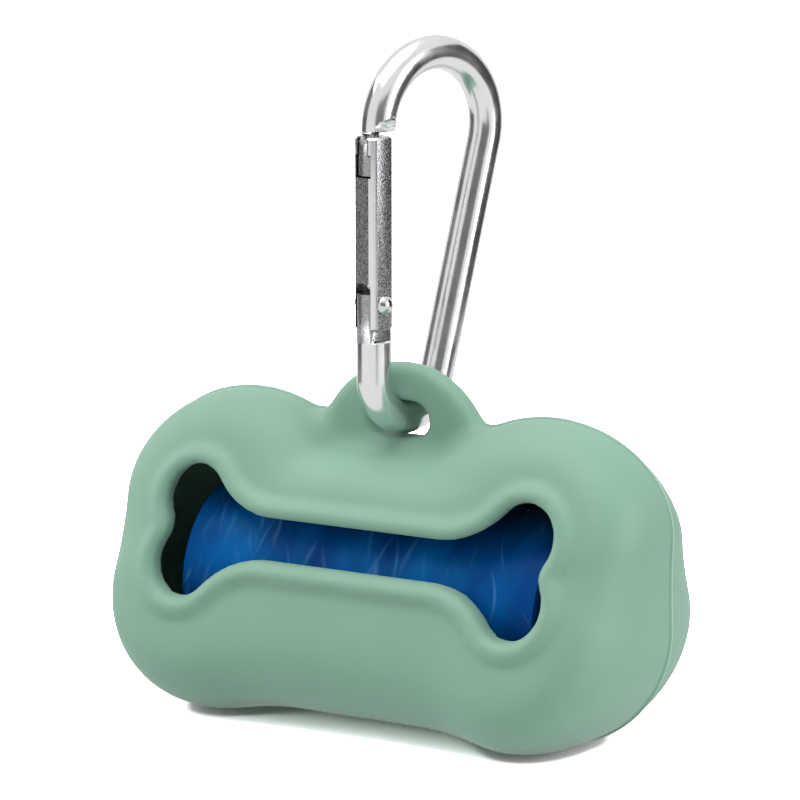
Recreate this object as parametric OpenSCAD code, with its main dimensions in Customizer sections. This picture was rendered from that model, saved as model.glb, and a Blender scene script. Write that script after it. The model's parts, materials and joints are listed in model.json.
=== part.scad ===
// Bone-shaped dispenser for a roll of dog waste bags, with a snap hook.
// X runs along the bone, the window faces -Y and Z is up. The body stands on its two lower
// lobes, and the origin lies on that plane under the middle of the overall depth.
// One quarter of a bone outline is four tangent pieces: a straight waist, a fillet, a lobe
// and the hollow between the lobes. The body, its cavity and its window all use it.

/* [Body] */
// Length over the lobes
body_l = 90.8; // [80:0.4:104]
// Radius of the lobes
lobe_r = 19.6; // [18.6:0.2:21]
// Height of the lobes' centres over and under the middle
lobe_z = 7.6; // [7:0.2:8.4]
// Height of the upper half as a share of the lower half
top_scale = 0.8; // [0.75:0.01:0.95]
// Height of the waist's top over the middle
waist_top = 14.6; // [13.6:0.2:17]
// Radius of the hollows between the waist's top and the lobes
waist_top_r = 5; // [2:0.5:14]
// Depth of the waist's underside below the middle
waist_low = 25.6; // [24:0.1:26.2]
// Radius of the hollows between the waist's underside and the lobes
waist_low_r = 60; // [20:5:100]
// Depth of the hollow between the lobes at each end
end_notch = 0.2; // [0.1:0.1:0.9]
// Depth of the front half at the middle's height
front_d = 17.1; // [15:0.1:20]
// Depth of the back half at the middle's height
back_d = 16.4; // [16:0.2:21]
// Angle by which the front leans back
front_rake = 22; // [8:1:26]
// Angle by which the back leans forward
back_rake = 25; // [10:1:28]
// Wall of the moulding
wall = 2.8; // [2:0.1:3.2]
// How much the lobes' undersides are flattened for standing
foot_cut = 0.4; // [0.2:0.05:0.8]
// Height of the line that the mould's halves leave round the body
flash_h = 0.25; // [0.1:0.05:0.4]

/* [Window] */
// Length of the bone-shaped window
window_l = 67; // [56:0.5:70]
// Radius of the window's lobes
window_lobe_r = 5; // [4.6:0.1:5.6]
// Height of the window's lobe centres over and under its middle
window_lobe_z = 4.5; // [4:0.1:5.2]
// Height of the window's neck
neck_h = 6; // [4.6:0.2:7.6]
// Length of the neck's straight stretch
neck_l = 29; // [20:0.5:33]
// Depth of the hollow at each end of the window
window_notch = 1.3; // [0.6:0.1:1.6]
// Height of the window's middle over the body's middle
window_z = 2; // [0:0.25:4]
// Width of the rounded bead round the window
bead_w = 3.6; // [2.6:0.2:4.2]
// Height of the bead
bead_h = 1; // [0.4:0.1:1.4]

/* [Lug] */
// Radius of the lug's round top
lug_r = 14.6; // [13.8:0.1:16]
// Height of the lug's top over the body's middle
lug_top = 28; // [27:0.2:31]
// Thickness of the lug
lug_t = 4.6; // [3.6:0.2:5.2]
// Material over the eye
lug_web = 4.5; // [3.6:0.1:4.8]
// Length of the eye for the hook
eye_l = 11; // [9.6:0.2:12]
// Height of the eye
eye_h = 6.8; // [6.6:0.1:7.2]

/* [Hook] */
// Diameter of the hook's rod
rod_d = 5.2; // [4.8:0.1:5.4]
// Length of the hook over its bends
hook_l = 59.4; // [57:0.2:70]
// Radius of the rod's centre line in the narrow bend
narrow_r = 6.4; // [6.2:0.1:7.6]
// Radius of the rod's centre line in the wide bend
wide_r = 11; // [10:0.1:13]
// Direction from the hook's gate to its spine, seen from above
hook_turn = 74; // [70:1:110]
// How far the nose stands inboard of the gate's centre line
nose_in = 0.95; // [0.2:0.05:1.1]
// Height of the nose's ground bevels
nose_bevel = 2.3; // [1.6:0.1:3]
// How far the rod's shoulder under the gate stands over the narrow bend
shoulder_u = 6; // [5.6:0.1:6.6]
// Height of the gate's hinge over the narrow bend
pivot_u = 11.4; // [11:0.1:13]

/* [Gate] */
// Diameter of the gate over its rounded corners
gate_d = 5.5; // [5.3:0.1:5.8]
// Distance between the gate's opposite flats
gate_flat = 4.7; // [4.5:0.1:5.1]
// Gap between the gate's top and the nose
nose_gap = 0.5; // [0.4:0.1:0.9]
// Reach of the gate's ears below the hinge
ear_reach = 3.8; // [3.2:0.1:4]
// Thickness of the tang on the rod's end
tang_t = 3; // [2.6:0.1:3.1]
// Reach of the tang above the hinge
tang_reach = 1.6; // [1.4:0.1:1.8]
// Diameter of the rivet
rivet_d = 1.8; // [1.5:0.1:2]
// Diameter of the rivet's heads
head_d = 3; // [2.6:0.1:3.2]
// Thickness of the tongue on the nose
tongue_t = 1.9; // [1.6:0.1:2.2]
// Length of the tongue under the nose
tongue_l = 6.2; // [5.4:0.1:7]
// Width of the bar at the tongue's end
bar_w = 3; // [2.7:0.1:3.2]
// Height of that bar
bar_h = 2.8; // [2:0.1:3.2]
// Diameter of the bore for the gate's spring
spring_bore = 2.7; // [2.5:0.1:3]
// Thickness of the spring's wire
wire_d = 0.3; // [0.24:0.02:0.36]
// Turns of the spring
spring_turns = 9; // [6:1:11]

/* [Bag roll] */
// Diameter of the roll of bags
roll_d = 30; // [26:0.5:30.5]
// Length of the roll
roll_l = 61; // [50:1:62]
// Outer diameter of the cardboard core
core_d = 13; // [10:0.5:16]
// Wall of the cardboard core
core_wall = 0.9; // [0.6:0.1:1.4]

/* [Hidden] */
$fn = 64;
cut = 20; // spare length by which a cutting body stands past what it cuts
run_gap = 0.05; // radial clearance of the hinge and the plunger
flat_gap = 0.15; // clearance between flat faces that slide
slot_gap = 0.2; // clearance between the nose's tongue and its slot
free_gap = 0.3; // clearance between pieces that only lie near each other

// Body
mid_z = lobe_z + lobe_r - foot_cut; // height of the body's middle over the standing plane
lobe_x = body_l / 2 - lobe_r;
front_slope = tan(front_rake);
back_slope = tan(back_rake);
front_power = 2.6; // roundness of the front: 2 is an ellipse and more is fuller
back_power = 1.8;
back_flat = [0.75, 0.1]; // extent of the flattish back as shares of the outline
front_steps = 11;
back_steps = 9;
inner_steps = 8;
bead_offsets = [1, 0.86, 0.68, 0.48, 0.28, 0.1, 0]; // shares of bead_w out from the window's edge
bead_heights = [0, 0.42, 0.86, 1, 0.86, 0.42, -0.1]; // shares of bead_h at those offsets

// Hook: in its plane, x runs inboard from the gate's centre line and u up from the narrow
// bend's centre
eye_z = mid_z + lug_top - lug_web - eye_h / 2;
rod_drop = 0.4; // the rod passes low in the eye, because it curves up on both sides
rod_z = eye_z - rod_drop;
wide_x = wide_r + nose_in;
wide_u = hook_l - rod_d - narrow_r - wide_r;
bend_span = norm([wide_x - narrow_r, wide_u]);
spine_l = sqrt(bend_span ^ 2 - (wide_r - narrow_r) ^ 2);
spine_lean = atan2(wide_x - narrow_r, wide_u) + asin((wide_r - narrow_r) / bend_span);
drawn = 0.02; // how much thinner the rod's straight stretches are than its bends
lap = 0.2; // how far they run into the bends
edge_cut = 0.3; // chamfers at the ends of the gate and the rod
nose_low_u = wide_u - tongue_l;
tongue_x = 0.3; // how far the tongue reaches inboard of the gate's centre line
bar_x = gate_flat / 2 - 0.1; // reach of the tongue's bar outwards

// Gate
gate_top_u = wide_u - nose_gap;
gate_low_u = pivot_u - ear_reach;
tang_corner_gap = 1.6; // space over the tang, so that its corners turn freely
slot_top_u = pivot_u + tang_reach + tang_corner_gap;
head_h = 1.1;
dome_r = head_h / 2 + head_d ^ 2 / (8 * head_h);
plunger_l = 4;
plunger_u = pivot_u + tang_reach + run_gap; // lowest point of the plunger's round tip
spring_low_u = plunger_u + plunger_l + run_gap;
spring_top_u = spring_low_u + 9.3;

function arc(cx, cz, r, from, to, steps) =
    [for (i = [0:steps - 1]) let (a = from + (to - from) * i / steps) [cx + r * cos(a), cz + r * sin(a)]];

// A quarter of the outline, from the middle of a waist to just short of the end's middle
function bone_quarter(lx, lz, r, waist_z, flat_x, notch) =
    let (
        drop = lz - waist_z,
        fillet_r = ((lx - flat_x) ^ 2 + drop ^ 2 - r ^ 2) / (2 * (r + drop)),
        join = atan2(drop - fillet_r, lx - flat_x),
        reach = (lz ^ 2 - notch ^ 2) / (2 * notch),
        side = atan2(lz, reach)
    )
    concat(
        [[0, waist_z], [flat_x / 2, waist_z]],
        arc(flat_x, waist_z + fillet_r, fillet_r, -90, join, 6),
        arc(lx, lz, r, join + 180, -side, 11),
        arc(lx + reach, 0, reach + notch - r, 180 - side, 180, 3)
    );

// The whole outline, from the middle of the top and round by +X, with the upper half flattened
function bone_ring(lx, lz, r, waist_up, waist_down, flat_up, flat_down, notch, up_scale) =
    let (
        up = bone_quarter(lx, lz, r, waist_up / up_scale, flat_up, notch),
        down = bone_quarter(lx, lz, r, waist_down, flat_down, notch),
        n = len(up),
        end_x = lx + r - notch
    )
    concat(
        [for (i = [0:n - 1]) [up[i][0], up[i][1] * up_scale]],
        [[end_x, 0]],
        [for (i = [n - 1:-1:0]) [down[i][0], -down[i][1]]],
        [for (i = [1:n - 1]) [-down[i][0], -down[i][1]]],
        [[-end_x, 0]],
        [for (i = [n - 1:-1:1]) [-up[i][0], up[i][1] * up_scale]]
    );

// Half the length of a waist's straight stretch, which ends where its hollow begins
function waist_flat(waist_z, hollow_r) =
    let (drop = lobe_z - waist_z)
    lobe_x - sqrt((lobe_r + drop) * (lobe_r - drop + 2 * hollow_r));

// The body's outline, grown outwards by d
function body_ring(d) =
    bone_ring(lobe_x, lobe_z, lobe_r + d, waist_top + d * top_scale, waist_low + d,
              waist_flat(waist_top / top_scale, waist_top_r), waist_flat(waist_low, waist_low_r),
              end_notch, top_scale);

// The window's outline, grown outwards by d, with its end hollows only as deep as they can be
function window_ring(d) =
    let (
        r = window_lobe_r + d,
        deepest = r + 0.5 - sqrt((r + 0.5) ^ 2 - window_lobe_z ^ 2),
        ring = bone_ring(window_l / 2 - window_lobe_r, window_lobe_z, r, neck_h / 2 + d, neck_h / 2 + d,
                         neck_l / 2, neck_l / 2, min(window_notch, deepest), 1)
    )
    [for (p = ring) [p[0], p[1] + window_z]];

// Rings of the moulding, from the back's middle round the outside, over the bead and back inside
function blend(outer, inner, share) =
    [for (i = [0:len(outer) - 1]) inner[i] + (outer[i] - inner[i]) * share];
function at_depth(ring, side, depth, slope, share) =
    [for (p = ring) [p[0], side * (depth - slope * p[1]) * share, p[1]]];
function at_plane(ring, y) = [for (p = ring) [p[0], y, p[1]]];
function shell_ring(outer, inner, side, depth, slope, power, angle) =
    at_depth(blend(outer, inner, cos(angle) ^ (2 / power)), side, depth, slope, sin(angle) ^ (2 / power));

outline = body_ring(0);
cavity = body_ring(-wall);
back_end = [for (p = outline) [p[0] * back_flat[0], p[1] * back_flat[1]]];
cavity_end = [for (p = cavity) [p[0] * back_flat[0], p[1] * back_flat[1]]];
bead_foot = window_ring(bead_w);
sill = window_ring(free_gap);

outer_rings = concat(
    [for (i = [back_steps:-1:1])
        shell_ring(outline, back_end, 1, back_d, back_slope, back_power, 90 * i / back_steps)],
    [at_plane(outline, flash_h * 1.2)],
    [at_plane(body_ring(flash_h), flash_h / 2)],
    [at_plane(body_ring(flash_h), -flash_h / 2)],
    [at_plane(outline, -flash_h * 1.2)],
    [for (i = [1:front_steps - 1])
        shell_ring(outline, bead_foot, -1, front_d, front_slope, front_power, 90 * i / front_steps)]
);
bead_rings = [for (i = [0:len(bead_offsets) - 1])
    at_depth(window_ring(bead_w * bead_offsets[i]), -1, front_d + bead_h * bead_heights[i], front_slope, 1)];
inner_rings = concat(
    [at_depth(window_ring(0), -1, front_d - wall / 2, front_slope, 1)],
    [for (i = [inner_steps:-1:1])
        shell_ring(cavity, sill, -1, front_d - wall, front_slope, front_power, 90 * i / inner_steps)],
    [at_plane(cavity, 0)],
    [for (i = [1:inner_steps])
        shell_ring(cavity, cavity_end, 1, back_d - wall, back_slope, back_power, 90 * i / inner_steps)]
);
shell_rings = concat(outer_rings, bead_rings, inner_rings);
shell_points = concat(
    [[0, back_d, 0]],
    [for (ring = shell_rings) each ring],
    [[0, back_d - wall, 0]]
);
ring_n = len(outline);
ring_count = len(shell_rings);
function ring_point(k, i) = 1 + k * ring_n + i % ring_n;
shell_faces = concat(
    [for (i = [0:ring_n - 1]) [0, ring_point(0, i + 1), ring_point(0, i)]],
    [for (k = [0:ring_count - 2], i = [0:ring_n - 1])
        [ring_point(k, i), ring_point(k, i + 1), ring_point(k + 1, i)]],
    [for (k = [0:ring_count - 2], i = [0:ring_n - 1])
        [ring_point(k, i + 1), ring_point(k + 1, i + 1), ring_point(k + 1, i)]],
    [for (i = [0:ring_n - 1])
        [len(shell_points) - 1, ring_point(ring_count - 1, i), ring_point(ring_count - 1, i + 1)]]
);

// The origin lies under the middle of the overall depth
front_y = min([for (p = shell_points) p[1]]);
back_y = max([for (p = shell_points) p[1]]);
hook_back_y = (wide_x - narrow_r + wide_r) * sin(hook_turn) + rod_d / 2;
part_y = -(front_y + max(back_y, hook_back_y)) / 2; // place of the mould's parting plane along Y

// The roll lies on the cavity's rounded floor, clear of it by free_gap
roll_fore = 0.3; // how far the roll lies in front of the parting plane
roll_room = roll_d / 2 + free_gap;
floor_points = [for (k = [1:len(inner_rings) - 2], share = [0:0.25:0.75])
    each blend(inner_rings[k + 1], inner_rings[k], share)];
under_roll = [for (p = floor_points)
    if (p[2] < -waist_low / 2 && abs(p[0]) <= roll_l / 2 && abs(p[1] + roll_fore) < roll_room) p];
roll_z = mid_z + max([for (p = under_roll) p[2] + sqrt(roll_room ^ 2 - (p[1] + roll_fore) ^ 2)]);

module on_body() {
    translate([0, part_y, mid_z])
        children();
}

module on_roll() {
    translate([0, part_y - roll_fore, roll_z])
        rotate([0, 90, 0])
            children();
}

// The hook's plane, from the gate's centre line at the height of the narrow bend's centre
module on_hook() {
    translate([0, part_y, rod_z + narrow_r])
        rotate([0, 0, hook_turn])
            translate([-narrow_r, 0, 0])
                children();
}

// The hinge's axis stands along Z for the children
module on_hinge() {
    on_hook()
        translate([0, 0, pivot_u])
            rotate([90, 0, 0])
                children();
}

module lug() {
    disc_z = lug_top - lug_r;
    round_r = lug_t * 0.38;
    difference() {
        translate([0, 0, disc_z])
            rotate([90, 0, 0])
                rotate_extrude()
                    difference() {
                        translate([0, -lug_t / 2])
                            square([lug_r, lug_t]);
                        for (side = [0, 1])
                            mirror([0, side])
                                translate([lug_r - round_r, lug_t / 2 - round_r])
                                    difference() {
                                        square([cut, cut]);
                                        circle(r = round_r);
                                    }
                    }
        rotate([90, 0, 0])
            linear_extrude(height = cut, center = true)
                polygon(body_ring(-wall / 2));
        translate([0, 0, eye_z - mid_z]) {
            cube([eye_l - eye_h, cut, eye_h], center = true);
            for (side = [-1, 1])
                translate([side * (eye_l - eye_h) / 2, 0, 0])
                    rotate([90, 0, 0])
                        cylinder(d = eye_h, h = cut, center = true);
        }
    }
}

module silicone_body() {
    color("#84b39b")
        on_body()
            difference() {
                union() {
                    polyhedron(points = shell_points, faces = shell_faces, convexity = 6);
                    lug();
                }
                translate([-body_l, -body_l, -mid_z - cut])
                    cube([2 * body_l, 2 * body_l, cut]);
            }
}

module bag_roll() {
    color("#0b4fb3")
        on_roll()
            difference() {
                cylinder(d = roll_d, h = roll_l, center = true);
                cylinder(d = core_d, h = roll_l + cut, center = true);
            }
}

module roll_core() {
    color("#b08d5f")
        on_roll()
            difference() {
                cylinder(d = core_d - 2 * drawn, h = roll_l, center = true);
                cylinder(d = core_d - 2 * core_wall, h = roll_l + cut, center = true);
            }
}

// One bend of the rod, from one angle to another in the hook's plane
module bend(r, from, to) {
    rotate([90, 0, 0])
        rotate([0, 0, from])
            rotate_extrude(angle = to - from)
                translate([r, 0])
                    circle(d = rod_d);
}

// A round bar with chamfered ends
module bar(d, l) {
    rotate_extrude()
        polygon([[0, 0], [d / 2 - edge_cut, 0], [d / 2, edge_cut], [d / 2, l - edge_cut],
                 [d / 2 - edge_cut, l], [0, l]]);
}

// The nose is ground down to its tongue on both sides
module nose_bevels() {
    far = 2; // reach of the cut past the tongue's flat
    slope = nose_bevel / ((rod_d - tongue_t) / 2);
    for (side = [0, 1])
        mirror([0, side, 0])
            rotate([90, 0, 90])
                linear_extrude(height = cut, center = true)
                    polygon([[tongue_t / 2, wide_u - 1], [tongue_t / 2, wide_u],
                             [tongue_t / 2 + far, wide_u + far * slope], [cut, wide_u + far * slope],
                             [cut, wide_u - 1]]);
}

module nose_tongue() {
    root_u = wide_u + 1.2;
    root_x = nose_in - rod_d / 2 + 0.25;
    intersection() {
        union() {
            rotate([90, 0, 0])
                linear_extrude(height = tongue_t, center = true)
                    polygon([[-bar_x, nose_low_u], [tongue_x, nose_low_u], [tongue_x, root_u],
                             [root_x, root_u], [root_x, wide_u], [-bar_x, wide_u - 1.6]]);
            translate([-bar_x, -bar_w / 2, nose_low_u])
                cube([bar_x + tongue_x, bar_w, bar_h]);
        }
        cylinder(r = bar_x, h = 3 * cut);
    }
}

module nose_slot() {
    translate([-cut, -tongue_t / 2 - slot_gap, nose_low_u])
        cube([cut + tongue_x + slot_gap, tongue_t + 2 * slot_gap, tongue_l]);
    translate([-cut, -bar_w / 2 - slot_gap, nose_low_u - free_gap])
        cube([cut + tongue_x + slot_gap, bar_w + 2 * slot_gap, bar_h + 2 * free_gap]);
}

module tang() {
    difference() {
        intersection() {
            translate([0, 0, shoulder_u - 1])
                cylinder(d = rod_d - 2 * drawn, h = pivot_u + tang_reach - shoulder_u + 1);
            translate([-cut / 2, -tang_t / 2, 0])
                cube([cut, tang_t, pivot_u + cut]);
        }
        translate([0, 0, pivot_u])
            rotate([90, 0, 0])
                cylinder(d = rivet_d + drawn, h = cut, center = true);
    }
}

module hook_frame() {
    color("#c9ccce")
        on_hook()
            union() {
                translate([narrow_r, 0, 0])
                    bend(narrow_r, 180, 360 - spine_lean);
                translate([narrow_r, 0, 0])
                    rotate([0, spine_lean, 0])
                        translate([narrow_r, 0, -lap])
                            cylinder(d = rod_d - drawn, h = spine_l + 2 * lap);
                difference() {
                    translate([wide_x, 0, wide_u])
                        bend(wide_r, -spine_lean, 180);
                    nose_bevels();
                }
                nose_tongue();
                translate([0, 0, -lap])
                    cylinder(d = rod_d - drawn, h = lap + 1);
                translate([0, 0, 0.5])
                    bar(rod_d - drawn, shoulder_u - 0.5);
                tang();
            }
}

module gate() {
    color("#d3d5d6")
        on_hook()
            difference() {
                intersection() {
                    translate([0, 0, gate_low_u])
                        bar(gate_d, gate_top_u - gate_low_u);
                    translate([-gate_flat / 2, -gate_flat / 2, 0])
                        cube([gate_flat, gate_flat, gate_top_u + cut]);
                }
                translate([-cut / 2, -tang_t / 2 - flat_gap, gate_low_u - cut])
                    cube([cut, tang_t + 2 * flat_gap, slot_top_u - gate_low_u + cut]);
                nose_slot();
                translate([0, 0, pivot_u])
                    rotate([90, 0, 0])
                        cylinder(d = rivet_d + 2 * run_gap, h = cut, center = true);
                translate([0, 0, pivot_u])
                    cylinder(d = spring_bore, h = spring_top_u - pivot_u);
            }
}

module gate_rivet() {
    shank = gate_flat / 2 + run_gap; // half the shank's length, with the heads just off the flats
    color("#b9bcbe")
        on_hinge()
            union() {
                cylinder(d = rivet_d, h = 2 * shank + head_h, center = true);
                for (side = [0, 1])
                    mirror([0, 0, side])
                        translate([0, 0, shank])
                            rotate_extrude()
                                intersection() {
                                    translate([0, head_h - dome_r])
                                        circle(r = dome_r);
                                    square([head_d / 2, head_h]);
                                }
            }
}

module gate_plunger() {
    r = spring_bore / 2 - 2 * run_gap;
    color("#a9acae")
        on_hook()
            translate([0, 0, plunger_u + r])
                rotate_extrude() {
                    intersection() {
                        circle(r = r);
                        translate([0, -r])
                            square(r);
                    }
                    square([r, plunger_l - r]);
                }
}

// The coil is a tube with coil_sides sides, its ends closed by fans
coil_sides = 6;
coil_steps = 12;
coil_r = (spring_bore - wire_d) / 2 - 0.25;
coil_n = spring_turns * coil_steps;
coil_rise = spring_top_u - spring_low_u - wire_d - 2 * run_gap;
coil_points = [for (k = [0:coil_n], j = [0:coil_sides - 1])
    let (
        turn = 360 * k / coil_steps,
        side = 360 * j / coil_sides,
        out = coil_r + wire_d / 2 * cos(side)
    )
    [out * cos(turn), out * sin(turn), coil_rise * k / coil_n + wire_d / 2 * sin(side)]];
coil_faces = concat(
    [for (j = [1:coil_sides - 2]) [0, j, j + 1]],
    [for (k = [0:coil_n - 1], j = [0:coil_sides - 1]) let (q = (j + 1) % coil_sides)
        [k * coil_sides + j, (k + 1) * coil_sides + j, k * coil_sides + q]],
    [for (k = [0:coil_n - 1], j = [0:coil_sides - 1]) let (q = (j + 1) % coil_sides)
        [k * coil_sides + q, (k + 1) * coil_sides + j, (k + 1) * coil_sides + q]],
    [for (j = [1:coil_sides - 2]) [coil_n * coil_sides, coil_n * coil_sides + j + 1, coil_n * coil_sides + j]]
);

module gate_spring() {
    color("#8d9093")
        on_hook()
            translate([0, 0, spring_low_u + wire_d / 2 + run_gap])
                polyhedron(points = coil_points, faces = coil_faces);
}

silicone_body();
bag_roll();
roll_core();
hook_frame();
gate();
gate_rivet();
gate_plunger();
gate_spring();
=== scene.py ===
"""A bone-shaped dispenser for dog waste bags, dressed and lit for a studio picture.

Lengths inside the classes are in millimetres, as the part's drawing has them, and every mesh is
brought to metres when it is made. X runs along the bone, -Y is the window's side and Z is up.
"""

from __future__ import annotations

import json
import logging
import math
from dataclasses import dataclass, field
from enum import Enum

import bmesh
import bpy
import numpy as np
import openvdb as vdb
from mathutils import Matrix, Vector

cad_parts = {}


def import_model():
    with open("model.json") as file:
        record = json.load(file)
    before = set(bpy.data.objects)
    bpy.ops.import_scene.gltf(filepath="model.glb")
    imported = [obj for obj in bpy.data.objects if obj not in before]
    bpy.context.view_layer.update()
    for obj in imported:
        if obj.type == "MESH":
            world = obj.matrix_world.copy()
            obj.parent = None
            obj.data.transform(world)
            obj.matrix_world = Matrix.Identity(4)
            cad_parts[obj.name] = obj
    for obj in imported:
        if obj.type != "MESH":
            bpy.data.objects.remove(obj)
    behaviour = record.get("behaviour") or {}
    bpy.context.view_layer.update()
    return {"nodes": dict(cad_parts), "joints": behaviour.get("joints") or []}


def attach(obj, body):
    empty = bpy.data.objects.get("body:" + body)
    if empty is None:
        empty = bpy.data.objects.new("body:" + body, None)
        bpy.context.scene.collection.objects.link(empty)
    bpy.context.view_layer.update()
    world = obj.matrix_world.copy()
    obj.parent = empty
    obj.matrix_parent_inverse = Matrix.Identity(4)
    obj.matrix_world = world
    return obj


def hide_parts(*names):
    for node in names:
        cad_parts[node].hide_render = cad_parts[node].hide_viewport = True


LOG = logging.getLogger("dispenser")
MM = 0.001
# The body's middle on its parting plane, in millimetres.
MIDDLE = (0.0, 1.71789, 26.8)
Pair = tuple[float, float]
Place = tuple[float, float, float]
Rgb = tuple[float, float, float]
Object = bpy.types.Object
Socket = bpy.types.NodeSocket


class Side(Enum):
    """The two halves of the moulding, by the sign of Y."""

    FRONT = -1
    BACK = 1


class End(Enum):
    """The two ends of the bag roll, by the sign of X."""

    LEFT = -1
    RIGHT = 1


def linear(*display: int) -> Rgb:
    """Turns red, green and blue of 0 to 255 into the linear values that shaders use."""
    shares = (c / 255 for c in display)
    return tuple(c / 12.92 if c <= 0.04045 else ((c + 0.055) / 1.055) ** 2.4 for c in shares)


class NodeTree:
    """Adds the nodes of one tree and joins them."""

    def __init__(self, tree: bpy.types.NodeTree) -> None:
        """Keeps the tree."""
        self.tree = tree

    def node(self, kind: str, **values: object) -> bpy.types.Node:
        """Adds a node.

        Args:
            kind: The node's type.
            values: Properties of the node, or inputs by name with spaces as underscores, each as a
                value or as the output socket that feeds it.

        Returns:
            The new node.
        """
        made = self.tree.nodes.new(kind)
        for key, value in values.items():
            if hasattr(made, key):
                setattr(made, key, value)
            else:
                self.feed(value, made.inputs[key.replace("_", " ")])
        return made

    def feed(self, value: object, target: Socket) -> None:
        """Links an output socket to an input, or sets the input to a plain value."""
        if isinstance(value, Socket):
            self.tree.links.new(value, target)
        else:
            target.default_value = value

    def join(self, kind: str, first: int, one: object, other: object, **values: object) -> bpy.types.Node:
        """Adds a node that joins two alike inputs, the first of which has the given number."""
        made = self.node(kind, **values)
        self.feed(one, made.inputs[first])
        self.feed(other, made.inputs[first + 1])
        return made

    def blend(self, share: Socket, under: Socket, over: Socket) -> Socket:
        """Mixes two shaders by a share."""
        return self.join("ShaderNodeMixShader", 1, under, over, Fac=share).outputs["Shader"]

    def ramp(self, share: Socket, stops: list) -> Socket:
        """Gives a colour ramp over a value.

        Args:
            share: The value that drives the ramp.
            stops: Pairs of position and linear colour or grey value.

        Returns:
            The ramp's colour socket.
        """
        made = self.node("ShaderNodeValToRGB", Fac=share)
        elements = made.color_ramp.elements
        while len(elements) < len(stops):
            elements.new(0.5)
        for element, (position, colour) in zip(elements, stops):
            element.position = position
            rgb = colour if isinstance(colour, tuple) else (colour,) * 3
            element.color = (*rgb, 1)
        return made.outputs["Color"]


class Shader(NodeTree):
    """Builds one node material, a node at a time."""

    def __init__(self, name: str) -> None:
        """Starts a material that has only its output and a Principled shader."""
        self.material = bpy.data.materials.new(name)
        self.material.use_nodes = True
        super().__init__(self.material.node_tree)
        self.surface = self.tree.nodes["Principled BSDF"]

    def place(self, turn: tuple = (0, 0, 0), stretch: tuple = (1, 1, 1)) -> Socket:
        """Gives the piece's own coordinates, turned and then stretched.

        Args:
            turn: Turn about X, Y and Z in radians.
            stretch: Factor for each axis.

        Returns:
            The coordinate socket.
        """
        source = self.node("ShaderNodeTexCoord").outputs["Object"]
        for rotation, scale in ((turn, (1, 1, 1)), ((0, 0, 0), stretch)):
            mapping = self.node("ShaderNodeMapping", Vector=source, Rotation=rotation, Scale=scale)
            source = mapping.outputs["Vector"]
        return source

    def noise(self, place: Socket, scale: float, detail: float = 3, rough: float = 0.5) -> Socket:
        """Gives a noise pattern of the given scale per metre."""
        made = self.node("ShaderNodeTexNoise", Vector=place, Scale=scale, Detail=detail, Roughness=rough)
        return made.outputs["Fac"]

    def painted(self, name: str) -> Socket:
        """Gives a value that the piece's own mesh carries."""
        return self.node("ShaderNodeAttribute", attribute_name=name).outputs["Fac"]

    def tint(self, share: Socket, under: Socket, over: Rgb) -> Socket:
        """Lays a plain colour over another one by a share."""
        made = self.join("ShaderNodeMix", 6, under, (*over, 1), data_type="RGBA", Factor=share)
        return made.outputs[2]

    def bump(
        self, height: Socket, depth: float, strength: float = 1, under: Socket | None = None
    ) -> Socket:
        """Gives a normal that a height pattern disturbs, on top of another one if there is one."""
        made = self.node("ShaderNodeBump", Strength=strength, Distance=depth, Height=height)
        if under is not None:
            self.feed(under, made.inputs["Normal"])
        return made.outputs["Normal"]

    def dress(self, **sockets: object) -> bpy.types.Material:
        """Sets or links inputs of the Principled shader.

        Args:
            sockets: Inputs by name with spaces as underscores, as a value or as an output socket.

        Returns:
            The finished material.
        """
        for key, value in sockets.items():
            self.feed(value, self.surface.inputs[key.replace("_", " ")])
        return self.material


def linked(name: str, data: bpy.types.ID) -> Object:
    """Makes an object and links it to the scene."""
    made = bpy.data.objects.new(name, data)
    bpy.context.scene.collection.objects.link(made)
    return made


def shift(place: tuple) -> Matrix:
    """Gives the matrix that moves a mesh by a place in millimetres."""
    return Matrix.Translation(Vector(place) * MM)


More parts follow.
